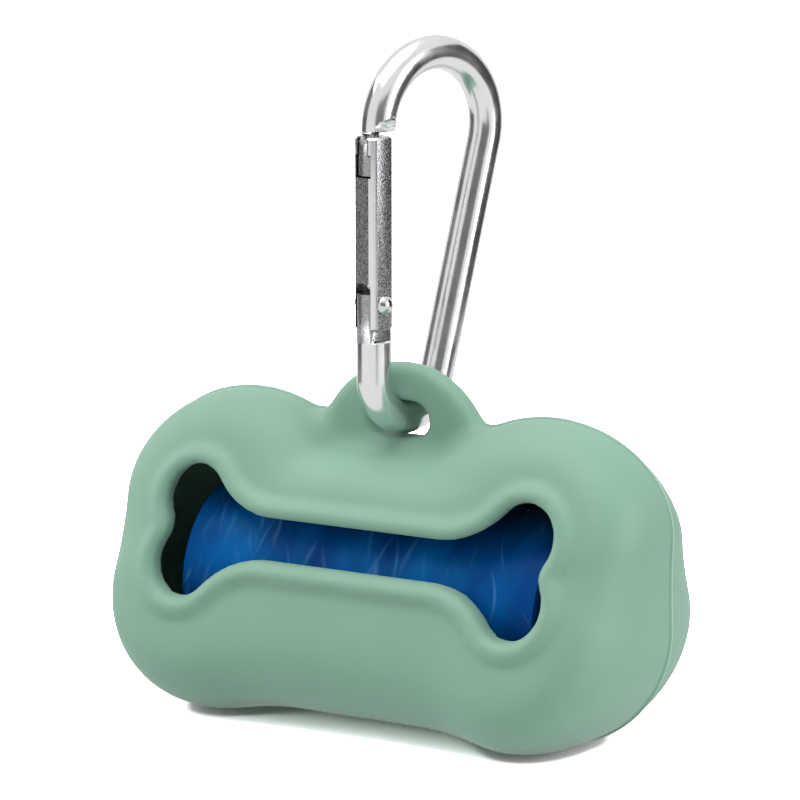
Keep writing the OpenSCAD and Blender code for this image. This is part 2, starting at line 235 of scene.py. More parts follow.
class GeometryTree(NodeTree):
    """Builds one Geometry Nodes tree with named inputs, and runs it on an object."""

    def __init__(self, name: str) -> None:
        """Starts a tree with a geometry input and a geometry output."""
        super().__init__(bpy.data.node_groups.new(name, "GeometryNodeTree"))
        for way in ("INPUT", "OUTPUT"):
            self.tree.interface.new_socket("Geometry", in_out=way, socket_type="NodeSocketGeometry")
        self.source = self.node("NodeGroupInput")
        self.values: dict[str, object] = {}

    def size(self, name: str, kind: str, value: object) -> Socket:
        """Adds a named input.

        Args:
            name: The input's name.
            kind: Float, Int, Vector or Material.
            value: What the modifier is to set it to.

        Returns:
            The socket inside the tree.
        """
        socket = self.tree.interface.new_socket(name, in_out="INPUT", socket_type=f"NodeSocket{kind}")
        self.values[socket.identifier] = value
        return self.source.outputs[name]

    def sweep(self, curve: Socket, radius: object, sides: object, material: object) -> None:
        """Ends the tree with a round bar of closed ends along a curve.

        Args:
            curve: The centre line.
            radius: The bar's radius.
            sides: Number of its sides.
            material: The bar's material.
        """
        circle = self.node("GeometryNodeCurvePrimitiveCircle", Resolution=sides, Radius=radius)
        bar = self.node(
            "GeometryNodeCurveToMesh", Curve=curve, Profile_Curve=circle.outputs["Curve"], Fill_Caps=True)
        real = self.node("GeometryNodeRealizeInstances", Geometry=bar.outputs["Mesh"])
        dressed = self.node("GeometryNodeSetMaterial", Geometry=real.outputs["Geometry"], Material=material)
        self.node("NodeGroupOutput", Geometry=dressed.outputs["Geometry"])

    def run(self, name: str, start: bpy.types.Mesh) -> Object:
        """Runs the tree on a mesh and keeps the result as a plain mesh.

        Args:
            name: The new piece's name.
            start: The mesh that the tree starts from.

        Returns:
            The new object, without the modifier.
        """
        made = linked(name, start)
        modifier = made.modifiers.new(self.tree.name, "NODES")
        modifier.node_group = self.tree
        for identifier, value in self.values.items():
            modifier[identifier] = value
        made.update_tag()
        seen = made.evaluated_get(bpy.context.evaluated_depsgraph_get())
        mesh = bpy.data.meshes.new_from_object(seen)
        made.modifiers.clear()
        made.data = mesh
        mesh.name = name
        return made


def winding(
    name: str, turns: float, radii: Pair, wire: float, place: tuple,
    material: bpy.types.Material,
) -> Object:
    """Winds a wire into a flat spiral across X.

    Args:
        name: The piece's name.
        turns: Number of turns.
        radii: Radius at the start and at the end, in millimetres.
        wire: The wire's diameter in millimetres.
        place: Where its centre lies, in millimetres.
        material: The wire's material.

    Returns:
        The spiral as a plain mesh object.
    """
    tree = GeometryTree(f"{name}_spiral")
    spiral = tree.node(
        "GeometryNodeCurveSpiral", Resolution=tree.size("Steps per Turn", "Int", 48),
        Rotations=tree.size("Turns", "Float", turns),
        Start_Radius=tree.size("Start Radius", "Float", radii[0] * MM),
        End_Radius=tree.size("End Radius", "Float", radii[1] * MM), Height=0.0)
    placed = tree.node(
        "GeometryNodeTransform", Geometry=spiral.outputs["Curve"],
        Rotation=tree.size("Turn", "Vector", (0, math.pi / 2, 0)),
        Translation=tree.size("Place", "Vector", tuple(v * MM for v in place)))
    tree.sweep(
        placed.outputs["Geometry"], tree.size("Wire Radius", "Float", wire / 2 * MM),
        tree.size("Sides", "Int", 8), tree.size("Material", "Material", material))
    made = tree.run(name, bpy.data.meshes.new(f"{name}_start"))
    made.data.polygons.foreach_set("use_smooth", [True] * len(made.data.polygons))
    return made


def shade(colour: Rgb, factor: float) -> Rgb:
    """Gives a colour scaled by a factor."""
    return tuple(min(1.0, c * factor) for c in colour)


@dataclass(frozen=True)
class SiliconeFinish:
    """Matte coloured silicone rubber with a faint moulded grain, paler where it is thin."""

    colour: Rgb = linear(125, 165, 144)
    thin: Rgb = linear(176, 208, 190)
    grain: float = 0.000012

    def material(self) -> bpy.types.Material:
        """Builds the material."""
        shader = Shader("matte_silicone")
        place = shader.place()
        cloudy = shader.noise(place, 45, 2)
        stops = [(0.3, shade(self.colour, 0.965)), (0.7, shade(self.colour, 1.025))]
        rough = shader.ramp(shader.noise(place, 160, 3), [(0.3, 0.5), (0.7, 0.58)])
        fine = shader.bump(shader.noise(place, 2600, 2), self.grain, 0.35)
        wide = shader.bump(shader.noise(place, 240, 2), self.grain * 3, 0.3, fine)
        flash = shader.ramp(shader.painted("flash"), [(0.3, 0.0), (0.9, 0.7)])
        colour = shader.tint(flash, shader.ramp(cloudy, stops), self.thin)
        return shader.dress(
            Base_Color=colour, Roughness=rough, Normal=wide,
            Specular_IOR_Level=0.4, Subsurface_Weight=0.12, Subsurface_Scale=0.0015,
            Subsurface_Radius=(0.7, 1.0, 0.85), Sheen_Weight=0.12, Sheen_Roughness=0.5,
        )


@dataclass(frozen=True)
class FilmFinish:
    """Thin blue bag film, wound tight, with painted highlights along its creases."""

    deep: Rgb = linear(0, 64, 132)
    pale: Rgb = linear(0, 102, 174)
    painted_glint: Rgb = linear(92, 148, 208)

    def material(self) -> bpy.types.Material:
        """Builds the material."""
        shader = Shader("crinkled_film")
        broad = shader.noise(shader.place((0.3, 0, 0.25), (1.2, 0.55, 0.55)), 95, 2, 0.5)
        fine = shader.noise(shader.place((0.5, 0.4, 0), (2.2, 0.6, 0.5)), 620, 3, 0.55)
        crease_and_painted_glint = shader.ramp(shader.painted("crease_and_painted_glint"), [(0.1, 0.0), (1.0, 0.62)])
        normal = shader.bump(broad, 0.0005, 0.5)
        normal = shader.bump(fine, 0.00004, 0.5, normal)
        # Pale painted highlights along the creases, mixed into the film's colour.
        colour = shader.tint(crease_and_painted_glint, shader.ramp(broad, [(0.35, self.deep), (0.65, self.pale)]), self.painted_glint)
        rough = shader.ramp(fine, [(0.3, 0.28), (0.7, 0.42)])
        return shader.dress(Base_Color=colour, Roughness=rough, Normal=normal, Specular_IOR_Level=0.06)


@dataclass(frozen=True)
class CardboardFinish:
    """Raw grey-brown cardboard tube."""

    colour: Rgb = linear(168, 142, 108)

    def material(self) -> bpy.types.Material:
        """Builds the material."""
        shader = Shader("raw_cardboard")
        fibre = shader.noise(shader.place((0, 0, 0.5), (0.4, 2.4, 2.4)), 900, 5, 0.7)
        colour = shader.ramp(fibre, [(0.3, shade(self.colour, 0.75)), (0.7, shade(self.colour, 1.2))])
        normal = shader.bump(fibre, 0.00005, 0.6)
        return shader.dress(Base_Color=colour, Roughness=0.9, Normal=normal, Specular_IOR_Level=0.2)


@dataclass(frozen=True)
class MetalFinish:
    """A metal surface with fine marks, from polished to rough cast.

    Its scales are per metre, its depth is in metres and its turn is the hook's own, in degrees.
    """

    name: str
    colour: Rgb
    rough: Pair
    mark_scale: float
    mark_depth: float
    patch_scale: float = 170.0
    darkest: float = 0.93
    turn: float = 74.0

    def material(self) -> bpy.types.Material:
        """Builds the material."""
        shader = Shader(self.name)
        place = shader.place((0, 0, -math.radians(self.turn)))
        marks = shader.noise(place, self.mark_scale, 2, 0.5)
        patches = shader.noise(place, self.patch_scale, 3, 0.6)
        tint = shader.ramp(patches, [(0.3, shade(self.colour, self.darkest)), (0.7, self.colour)])
        rough = shader.ramp(patches, [(0.35, self.rough[0]), (0.65, self.rough[1])])
        normal = shader.bump(marks, self.mark_depth, 0.8)
        return shader.dress(Base_Color=tint, Metallic=1.0, Roughness=rough, Normal=normal)


def mesh_object(name: str, points: np.ndarray, faces: list, smooth: bool = True) -> Object:
    """Makes a mesh object from points in millimetres.

    Args:
        name: The piece's name.
        points: Array of points.
        faces: Lists of point indices.
        smooth: True for smooth shading.

    Returns:
        The object, linked to the scene, with its place in its mesh.
    """
    mesh = bpy.data.meshes.new(name)
    mesh.from_pydata((np.asarray(points) * MM).tolist(), [], faces)
    mesh.polygons.foreach_set("use_smooth", [smooth] * len(mesh.polygons))
    mesh.update()
    return linked(name, mesh)


def finish_piece(piece: Object, body: str, replaced: tuple, materials: list) -> None:
    """Dresses a piece, sets it on its body and hides the solids that it stands for.

    Args:
        piece: The piece's object.
        body: The body that it moves with.
        replaced: Names of the solids that it stands for.
        materials: Its materials, in the order of its faces' numbers.
    """
    index = [face.material_index for face in piece.data.polygons]
    piece.data.materials.clear()
    for material in materials:
        piece.data.materials.append(material)
    piece.data.polygons.foreach_set("material_index", [min(i, len(materials) - 1) for i in index])
    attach(piece, body)
    if replaced:
        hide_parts(*replaced)
    LOG.info("%s: %d faces on %s", piece.name, len(piece.data.polygons), body)


def merged_copy(node: Object, name: str, sharp: float) -> Object:
    """Copies a solid's mesh, merged and shaded smooth up to an angle.

    Args:
        node: The solid's object.
        name: The new piece's name.
        sharp: Angle in degrees from which an edge stays sharp.

    Returns:
        The new object.
    """
    made = linked(name, node.data.copy())
    work = bmesh.new()
    work.from_mesh(made.data)
    bmesh.ops.remove_doubles(work, verts=work.verts, dist=1e-6)
    for face in work.faces:
        face.smooth = True
    work.to_mesh(made.data)
    work.free()
    made.data.set_sharp_from_angle(angle=math.radians(sharp))
    return made


def cut(work: bmesh.types.BMesh, place: tuple, normal: tuple) -> None:
    """Cuts edges into a mesh where a plane crosses it."""
    bmesh.ops.bisect_plane(
        work, geom=work.verts[:] + work.edges[:] + work.faces[:], dist=1e-7,
        plane_co=place, plane_no=normal)


def arc(x: float, z: float, r: float, start: float, end: float, steps: int) -> np.ndarray:
    """Gives points along an arc, without its last one, with angles in degrees."""
    angles = np.radians(np.linspace(start, end, steps, endpoint=False))
    return np.stack([x + r * np.cos(angles), z + r * np.sin(angles)], axis=1)


def waist_flat(lobe_x: float, lobe_z: float, lobe_r: float, waist: float, hollow: float) -> float:
    """Gives half the length of a waist's straight stretch, which ends where its hollow begins."""
    drop = lobe_z - waist
    return lobe_x - math.sqrt((lobe_r + drop) * (lobe_r - drop + 2 * hollow))


@dataclass
class BoneOutline:
    """A bone outline of straight waists, fillets, four lobes and two end hollows."""

    lobe_x: float
    lobe_z: float
    lobe_r: float
    waist_top: float
    waist_low: float
    flat_top: float
    flat_low: float
    notch: float
    top_scale: float = 1.0
    least_fillet: float = 0.5
    detail: int = 3

    def quarter(self, waist: float, flat: float, r: float, notch: float) -> np.ndarray:
        """Gives a quarter of the outline, from a waist's middle to just short of the end's.

        Args:
            waist: Height of the waist.
            flat: Half the length of its straight stretch.
            r: Radius of the lobe.
            notch: Depth of the end's hollow.

        Returns:
            Points with X and Z.
        """
        drop = self.lobe_z - waist
        fillet = ((self.lobe_x - flat) ** 2 + drop**2 - r**2) / (2 * (r + drop))
        join = math.degrees(math.atan2(drop - fillet, self.lobe_x - flat))
        reach = (self.lobe_z**2 - notch**2) / (2 * notch)
        side = math.degrees(math.atan2(self.lobe_z, reach))
        straight = np.linspace(0, flat, 2 * self.detail, endpoint=False)
        return np.concatenate([
            np.stack([straight, np.full_like(straight, waist)], axis=1),
            arc(flat, waist + fillet, fillet, -90, join, 6 * self.detail),
            arc(self.lobe_x, self.lobe_z, r, join + 180, -side, 11 * self.detail),
            arc(self.lobe_x + reach, 0, reach + notch - r, 180 - side, 180, 3 * self.detail),
        ])

    def ring(self, grow: float = 0.0) -> np.ndarray:
        """Gives the whole outline, grown outwards, from the middle of its top round by +X."""
        r = self.lobe_r + grow
        reach = r + self.least_fillet
        notch = min(self.notch, reach - math.sqrt(max(reach**2 - self.lobe_z**2, 0)))
        waist_up = self.waist_top + grow * self.top_scale
        up = self.quarter(waist_up / self.top_scale, self.flat_top, r, notch) * (1, self.top_scale)
        down = self.quarter(self.waist_low + grow, self.flat_low, r, notch)
        end = self.lobe_x + r - notch
        return np.concatenate([
            up, [[end, 0]], down[::-1] * (1, -1), down[1:] * (-1, -1), [[-end, 0]],
            up[:0:-1] * (-1, 1),
        ])


def body_outline() -> BoneOutline:
    """Gives the body's outline on its parting plane, its waists drawn in by two hollows."""
    lobe = (25.8, 7.6, 19.6)
    waist_top, top_hollow, top_scale = 14.6, 5.0, 0.8
    waist_low, low_hollow = 25.6, 60.0
    return BoneOutline(
        *lobe, waist_top=waist_top, waist_low=waist_low,
        flat_top=waist_flat(*lobe, waist_top / top_scale, top_hollow),
        flat_low=waist_flat(*lobe, waist_low, low_hollow), notch=0.2, top_scale=top_scale)


def window_outline() -> BoneOutline:
    """Gives the window's outline, which is the same up and down."""
    return BoneOutline(
        lobe_x=28.5, lobe_z=4.5, lobe_r=5.0, waist_top=3.0, waist_low=3.0, flat_top=14.5, flat_low=14.5,
        notch=1.3)


@dataclass
class Shell:
    """The hollow moulding between the window's edge and the middle of its back."""

    body: BoneOutline = field(default_factory=body_outline)
    window: BoneOutline = field(default_factory=window_outline)
    window_z: float = 2.0
    front_depth: float = 17.1
    back_depth: float = 16.4
    front_slope: float = math.tan(math.radians(22))
    back_slope: float = math.tan(math.radians(25))
    front_power: float = 2.6
    back_power: float = 1.8
    back_flat: Pair = (0.75, 0.1)
    wall: float = 2.8
    sill: float = 0.3
    bead_width: float = 3.0
    bead_height: float = 1.35
    bead_power: float = 0.6
    bead_steps: int = 24
    steps: int = 30

    def window_ring(self, grow: float) -> np.ndarray:
        """Gives the window's outline, grown outwards."""
        return self.window.ring(grow) + (0, self.window_z)

    @staticmethod
    def at_depth(ring: np.ndarray, side: Side, depth: float, slope: float, share: float) -> np.ndarray:
        """Stands a ring's points off the parting plane by a share of the leaning depth."""
        y = side.value * (depth - slope * ring[:, 1]) * share
        return np.stack([ring[:, 0], y, ring[:, 1]], axis=1)

    def half(
        self, outer: np.ndarray, inner: np.ndarray, side: Side, thinner: float, angles: np.ndarray
    ) -> list:
        """Gives the rings of one half's surface, between its outline and its inner ring.

        Args:
            outer: Outline on the parting plane.
            inner: Ring at the half's full depth.
            side: Which half.
            thinner: How far the surface lies inside the outer one.
            angles: Angles in degrees from the outline to the full depth.

        Returns:
            Rings with X, Y and Z.
        """
        front = side is Side.FRONT
        depth = (self.front_depth if front else self.back_depth) - thinner
        slope = self.front_slope if front else self.back_slope
        power = 2 / (self.front_power if front else self.back_power)
        rings = []
        for angle in np.radians(angles):
            ring = inner + (outer - inner) * max(math.cos(angle), 0) ** power
            rings.append(self.at_depth(ring, side, depth, slope, math.sin(angle) ** power))
        return rings

    def rings(self) -> list:
        """Gives all rings, from the back's middle over the outside and back inside."""
        outline = self.body.ring()
        cavity = self.body.ring(-self.wall)
        rise = np.linspace(0, 90, self.steps + 1)
        bead = np.linspace(1, 0, self.bead_steps)
        arch = np.sin(np.pi * bead) ** self.bead_power
        rings = self.half(outline, outline * self.back_flat, Side.BACK, 0, rise[:0:-1])
        rings += self.half(outline, self.window_ring(self.bead_width), Side.FRONT, 0, rise[:-1])
        for share, height in zip(bead, arch):
            rings.append(self.at_depth(
                self.window_ring(self.bead_width * share), Side.FRONT,
                self.front_depth + self.bead_height * height, self.front_slope, 1))
        rings += self.half(cavity, self.window_ring(self.sill), Side.FRONT, self.wall, rise[:0:-1])
        rings += self.half(cavity, cavity * self.back_flat, Side.BACK, self.wall, rise)
        return rings

    def surface(self) -> tuple[np.ndarray, np.ndarray]:
        """Gives the closed surface as points and triangles."""
        return close_rings(self.rings(), [0, self.back_depth, 0], [0, self.back_depth - self.wall, 0])


def close_rings(rings: list, first: list, last: list) -> tuple[np.ndarray, np.ndarray]:
    """Joins rings of equal length into one surface that is closed by a point at each end.

    Args:
        rings: Rings of points.
        first: Point that closes the first ring.
        last: Point that closes the last ring.

    Returns:
        Points and triangles.
    """
    count, n = len(rings), len(rings[0])
    points = np.concatenate([[first], *rings, [last]])
    index = 1 + np.arange(count * n).reshape(count, n)
    a, b = index[:-1], np.roll(index[:-1], -1, axis=1)
    c, d = index[1:], np.roll(index[1:], -1, axis=1)
    sides = [np.stack(t, axis=-1).reshape(-1, 3) for t in ((a, c, b), (b, c, d))]
    top = np.stack([np.zeros(n, int), index[0], np.roll(index[0], -1)], axis=1)
    end = np.stack([np.full(n, len(points) - 1), np.roll(index[-1], -1), index[-1]], axis=1)
    return points, np.concatenate([top, *sides, end])


def ring_quads(count: int, n: int) -> np.ndarray:
    """Gives the quads between rings of n points, the last of which joins the first."""
    index = np.arange(count * n).reshape(count, n)
    after = np.roll(index, -1, axis=0)
    corners = (index, np.roll(index, -1, axis=1), np.roll(after, -1, axis=1), after)
    return np.stack(corners, axis=-1).reshape(-1, 4)


@dataclass
class Lug:
    """The round ear on the waist, with its eye for the hook."""

    radius: float = 14.6
    top: float = 28.0
    thickness: float = 4.6
    web: float = 5.7
    eye_l: float = 10.2
    eye_h: float = 5.5
    outline: BoneOutline = field(default_factory=body_outline)
    root_depth: float = 1.4
    root_reach: float = 24.0
    rim_round: float = 1.75
    eye_round: float = 0.9
    around: int = 160
    round_steps: int = 7

    def boundary(self, angle: np.ndarray, inner: bool) -> tuple[np.ndarray, np.ndarray]:
        """Gives points and outward normals of the ear's edge or of its eye's edge."""
        normal = np.stack([np.cos(angle), np.sin(angle)], axis=1)
        if not inner:
            return normal * self.radius + (0, self.top - self.radius), normal
        half = (self.eye_l - self.eye_h) / 2
        centre = np.stack([np.sign(normal[:, 0]) * half, np.zeros(len(angle))], axis=1)
        return centre + normal * self.eye_h / 2 + (0, self.top - self.web - self.eye_h / 2), normal

    def root(self) -> np.ndarray:
        """Gives the line inside the shell's top wall on which the ear ends, from -X to +X."""
        ring = self.outline.ring(-self.root_depth)
        top = ring[(ring[:, 1] > 0) & (np.abs(ring[:, 0]) < self.root_reach)]
        return top[np.argsort(top[:, 0])]

    def surface(self) -> tuple[np.ndarray, np.ndarray]:
        """Gives the closed ear as points and triangles, with its root inside the shell's wall."""
        angle = np.linspace(0, 2 * math.pi, self.around, endpoint=False) + math.pi / self.around
        outer, out_normal = self.boundary(angle, False)
        inner, in_normal = self.boundary(angle, True)
        quarter = np.linspace(0, math.pi / 2, self.round_steps)
        half = self.thickness / 2
        rings = []
        for side in (1, -1):
            turn = quarter if side > 0 else quarter[::-1]
            edge = [(outer - out_normal * self.rim_round * (1 - math.cos(t)),
                     side * (half - self.rim_round * (1 - math.sin(t)))) for t in turn]
            lip = [(inner + in_normal * self.eye_round * (1 - math.cos(t)),
                    side * (half - self.eye_round * (1 - math.sin(t)))) for t in turn[::-1]]
            walk = edge + lip if side > 0 else lip + edge
            rings += [np.insert(line, 1, y, axis=1) for line, y in walk]
        points = np.concatenate(rings)
        root = self.root()
        points[:, 2] = np.maximum(points[:, 2], np.interp(points[:, 0], root[:, 0], root[:, 1]))
        quads = ring_quads(len(rings), self.around)
        return points, np.concatenate([quads[:, (0, 1, 3)], quads[:, (1, 2, 3)]])


@dataclass
class Moulding:
    """The silicone body: shell and lug flow into each other in one skin."""

    finish: SiliconeFinish = SiliconeFinish()
    shell: Shell = field(default_factory=Shell)
    lug: Lug = field(default_factory=Lug)
    middle: Place = MIDDLE
    pitch: float = 0.6
    margin: int = 3
    smoothing: int = 3
    reach: float = 4.5
    root_fillet: float = 3.4
    flash_h: float = 0.34
    flash_w: float = 0.36
    flash_near: float = 1.2
    flash_cuts: tuple[float, ...] = (-1, -0.5, 0, 0.5, 1)

    def distances(self, surface: tuple, low: np.ndarray, shape: tuple) -> np.ndarray:
        """Gives the signed distances from a closed surface on the moulding's grid.

        Args:
            surface: Points and triangles.
            low: Index of the grid's first cell.
            shape: Number of cells each way.

        Returns:
            Distances in millimetres, negative inside.
        """
        grid = vdb.FloatGrid.createLevelSetFromPolygons(
            surface[0].astype(np.float32), triangles=surface[1].astype(np.uint32),
            transform=vdb.createLinearTransform(voxelSize=self.pitch),
            halfWidth=self.reach / self.pitch)
        block = np.empty(shape, np.float32)
        grid.copyToArray(block, ijk=tuple(int(v) for v in low))
        return block

    def skin(self) -> tuple[np.ndarray, list]:
        """Gives the one skin over shell and lug, with a fillet between them."""
        shell = self.shell.surface()
        lug = self.lug.surface()
        both = np.concatenate([shell[0], lug[0]])
        low = np.floor(both.min(axis=0) / self.pitch).astype(int) - self.margin
        shape = tuple(np.ceil(both.max(axis=0) / self.pitch).astype(int) + self.margin + 1 - low)
        a, b = (self.distances(s, low, shape) for s in (shell, lug))
        mix = np.clip(0.5 + 0.5 * (b - a) / self.root_fillet, 0, 1)
        block = b + (a - b) * mix - self.root_fillet * mix * (1 - mix)
        heights = (low[2] + np.arange(shape[2])) * self.pitch
        block = np.maximum(block, -self.middle[2] - heights[None, None, :]).astype(np.float32)
        grid = vdb.FloatGrid(self.reach)
        grid.transform = vdb.createLinearTransform(voxelSize=self.pitch)
        grid.copyFromArray(block, ijk=tuple(int(v) for v in low))
        points, triangles, quads = grid.convertToPolygons(0.0, 0.0)
        return points.astype(float), triangles.tolist() + quads.tolist()

    def draw_flash(self, work: bmesh.types.BMesh) -> None:
        """Raises the fine line that the mould's halves leave on the parting plane."""
        for share in self.flash_cuts:
            cut(work, (0, share * self.flash_w * MM, 0), (0, 1, 0))
        work.normal_update()
        outline = self.shell.body.ring() * MM
        layer = work.verts.layers.float.new("flash")
        for vertex in work.verts:
            x, y, z = vertex.co
            share = max(0.0, 1 - abs(y) / (self.flash_w * MM))
            if share and np.min(np.hypot(outline[:, 0] - x, outline[:, 1] - z)) < self.flash_near * MM:
                vertex.co += vertex.normal * self.flash_h * MM * math.sin(share * math.pi / 2)
                vertex.co.z = max(vertex.co.z, -self.middle[2] * MM)
                vertex[layer] = share

    def build(self) -> None:
        """Makes the body and dresses it."""
        points, faces = self.skin()
        piece = mesh_object("silicone_bone", points, faces)
        work = bmesh.new()
        work.from_mesh(piece.data)
        for _ in range(self.smoothing):
            bmesh.ops.smooth_vert(
                work, verts=work.verts, factor=0.5, use_axis_x=True, use_axis_y=True, use_axis_z=True)
        bmesh.ops.recalc_face_normals(work, faces=work.faces)
        self.draw_flash(work)
        work.to_mesh(piece.data)
        work.free()
        piece.data.transform(shift(self.middle))
        finish_piece(piece, "body", ("silicone_body",), [self.finish.material()])


@dataclass
class Hook:
    """The snap hook: bent rod, gate, rivet, plunger and coil.

    Its own plane has X inboard from the gate's middle line and Z up from the narrow bend's middle.
    """

    nodes: dict
    joints: dict
    polished: MetalFinish = MetalFinish(
        "polished_aluminium", linear(232, 232, 233), (0.15, 0.25), 900, 0.000004)
    cast: MetalFinish = MetalFinish(
        "cast_aluminium", linear(186, 186, 189), (0.2, 0.34), 4200, 0.00005, 3600, 0.5)
    steel: MetalFinish = MetalFinish("rivet_steel", linear(222, 221, 219), (0.12, 0.2), 900, 0.000006)
    rod_r: float = 2.6
    narrow_r: float = 6.4
    wide_r: float = 11.0
    wide_x: float = 11.95
    wide_u: float = 36.8
    nose_turn: float = 164.0
    nose_lap: float = 3.0
    foot_u: float = 5.3
    foot_lap: float = 0.3
    sunk: float = 0.9
    shoulder_u: float = 6.0
    flat_reach: float = 2.4
    flat_lean: float = 0.99
    edge: float = 0.12
    edge_angle: float = 30.0
    sides: int = 64
    bend_steps: tuple[int, int] = (80, 120)
    sharp: float = 28.0
    plane: Matrix = field(init=False)

    def __post_init__(self) -> None:
        """Finds the matrix from the hook's own plane to the part's frame."""
        hinge, swing = self.joints["gate_hinge"], self.joints["hook_swing"]
        turn = math.atan2(-hinge["axis"][0], hinge["axis"][1])
        place = (*hinge["pos_m"][:2], swing["pos_m"][2] + self.narrow_r * MM)
        self.plane = Matrix.Translation(place) @ Matrix.Rotation(turn, 4, "Z")

    def centre_line(self) -> np.ndarray:
        """Gives the rod's centre line in its own plane, from under the shoulder round to the nose."""
        away = self.wide_x - self.narrow_r
        lean = math.degrees(math.acos((self.narrow_r - self.wide_r) / math.hypot(away, self.wide_u))
                            - math.atan2(self.wide_u, away))
        narrow_steps, wide_steps = self.bend_steps
        line = np.concatenate([
            [[0, self.foot_u + 1.5 * self.foot_lap], [0, self.foot_u + self.foot_lap]],
            arc(self.narrow_r, 0, self.narrow_r, 180, 360 - lean, narrow_steps),
            arc(self.narrow_r, 0, self.narrow_r, 360 - lean, 360, 1),
            arc(self.wide_x, self.wide_u, self.wide_r, -lean, self.nose_turn + self.nose_lap, wide_steps),
        ])
        return np.insert(line, 1, 0, axis=1)

    def rod(self) -> bpy.types.Mesh:
        """Sweeps the round rod along its centre line, with its ends drawn in to lie inside their piece."""
        line = self.centre_line() * MM
        start = bpy.data.meshes.new("rod_centre_line")
        start.from_pydata(line.tolist(), [(k, k + 1) for k in range(len(line) - 1)], [])
        tree = GeometryTree("rod_sweep")
        curve = tree.node("GeometryNodeMeshToCurve", Mesh=tree.source.outputs["Geometry"])
        tree.sweep(
            curve.outputs["Curve"], tree.size("Rod Radius", "Float", self.rod_r * MM),
            tree.size("Sides", "Int", self.sides),
            tree.size("Material", "Material", self.polished.material()))
        made = tree.run("rod_sweep", start)
        mesh = made.data
        for end in (Vector(line[0]), Vector(line[-1])):
            for vertex in mesh.vertices:
                if (vertex.co - end).length < self.rod_r * 1.001 * MM:
                    vertex.co = end + (vertex.co - end) * self.sunk
        bpy.data.objects.remove(made)
        return mesh

    def trim(self, mesh: bpy.types.Mesh) -> None:
        """Keeps the nose and the tang of the rod's copy, and sets the sweep between them.

        Args:
            mesh: The rod's copy in the hook's own plane.
        """
        angle = math.radians(self.nose_turn)
        bend, foot = Vector((self.wide_x, 0, self.wide_u)) * MM, Vector((0, 0, self.foot_u)) * MM
        past, up = Vector((-math.sin(angle), 0, math.cos(angle))), Vector((0, 0, 1))
        work = bmesh.new()
        work.from_mesh(mesh)
        for place, normal in ((bend, past), (foot, up)):
            cut(work, place, normal)
        covered = []
        for face in work.faces:
            middle = face.calc_center_median()
            outboard = middle.x < self.narrow_r * MM
            nose = (middle - bend).dot(past) > 0 and middle.z > self.wide_u / 2 * MM
            tang = (middle - foot).dot(up) > 0 and middle.z < self.wide_u / 2 * MM
            if not (outboard and (nose or tang)):
                covered.append(face)
            face.material_index = int(self.shoulder_u < middle.z / MM < self.wide_u)
        bmesh.ops.delete(work, geom=covered, context="FACES")
        bmesh.ops.holes_fill(work, edges=[edge for edge in work.edges if edge.is_boundary])
        work.from_mesh(self.rod())
        for face in work.faces:
            face.smooth = True
        work.to_mesh(mesh)
        work.free()

    def mark_flats(self, mesh: bpy.types.Mesh) -> None:
        """Gives the gate's flats the cast finish, in the hook's own plane."""
        for face in mesh.polygons:
            face.material_index = int(any(
                abs(face.normal[k]) > self.flat_lean and abs(face.center[k]) < self.flat_reach * MM
                for k in (0, 1)))

    def round_edges(self, piece: Object) -> None:
        """Breaks a piece's sharp edges, so that they catch the light."""
        piece.data.set_sharp_from_angle(angle=math.radians(self.sharp))
        bevel = piece.modifiers.new("edges", "BEVEL")
        bevel.width = self.edge * MM
        bevel.segments = 2
        bevel.limit_method = "ANGLE"
        bevel.angle_limit = math.radians(self.edge_angle)
        bevel.use_clamp_overlap = True
        bevel.harden_normals = True

    def build(self) -> None:
        """Makes the hook's pieces and dresses them."""
        shaped = {"hook_frame": self.trim, "gate": self.mark_flats}
        rows = (
            ("hook_frame", "hook_rod_piece", "hook", "hook_rod", (self.polished, self.cast)),
            ("gate", "gate_piece", "gate", "gate_rod", (self.polished, self.cast)),
            ("gate_rivet", "rivet_piece", "hook", "small_steel", (self.steel,)),
            ("gate_plunger", "plunger_piece", "plunger", "small_steel", (self.steel,)),
        )
        for node, name, body, slot, finishes in rows:
            piece = merged_copy(self.nodes[node], name, self.sharp)
            if node in shaped:
                piece.data.transform(self.plane.inverted())
                shaped[node](piece.data)
                piece.data.transform(self.plane)
                self.round_edges(piece)
            finish_piece(piece, body, (node,), [finish.material() for finish in finishes])
        coil_slots = self.nodes["gate_spring"].material_slots
        for coil_slot in coil_slots:
            coil_slot.material = self.steel.material()
        LOG.info("gate_spring: its solid stays, with %d new finishes", len(coil_slots))


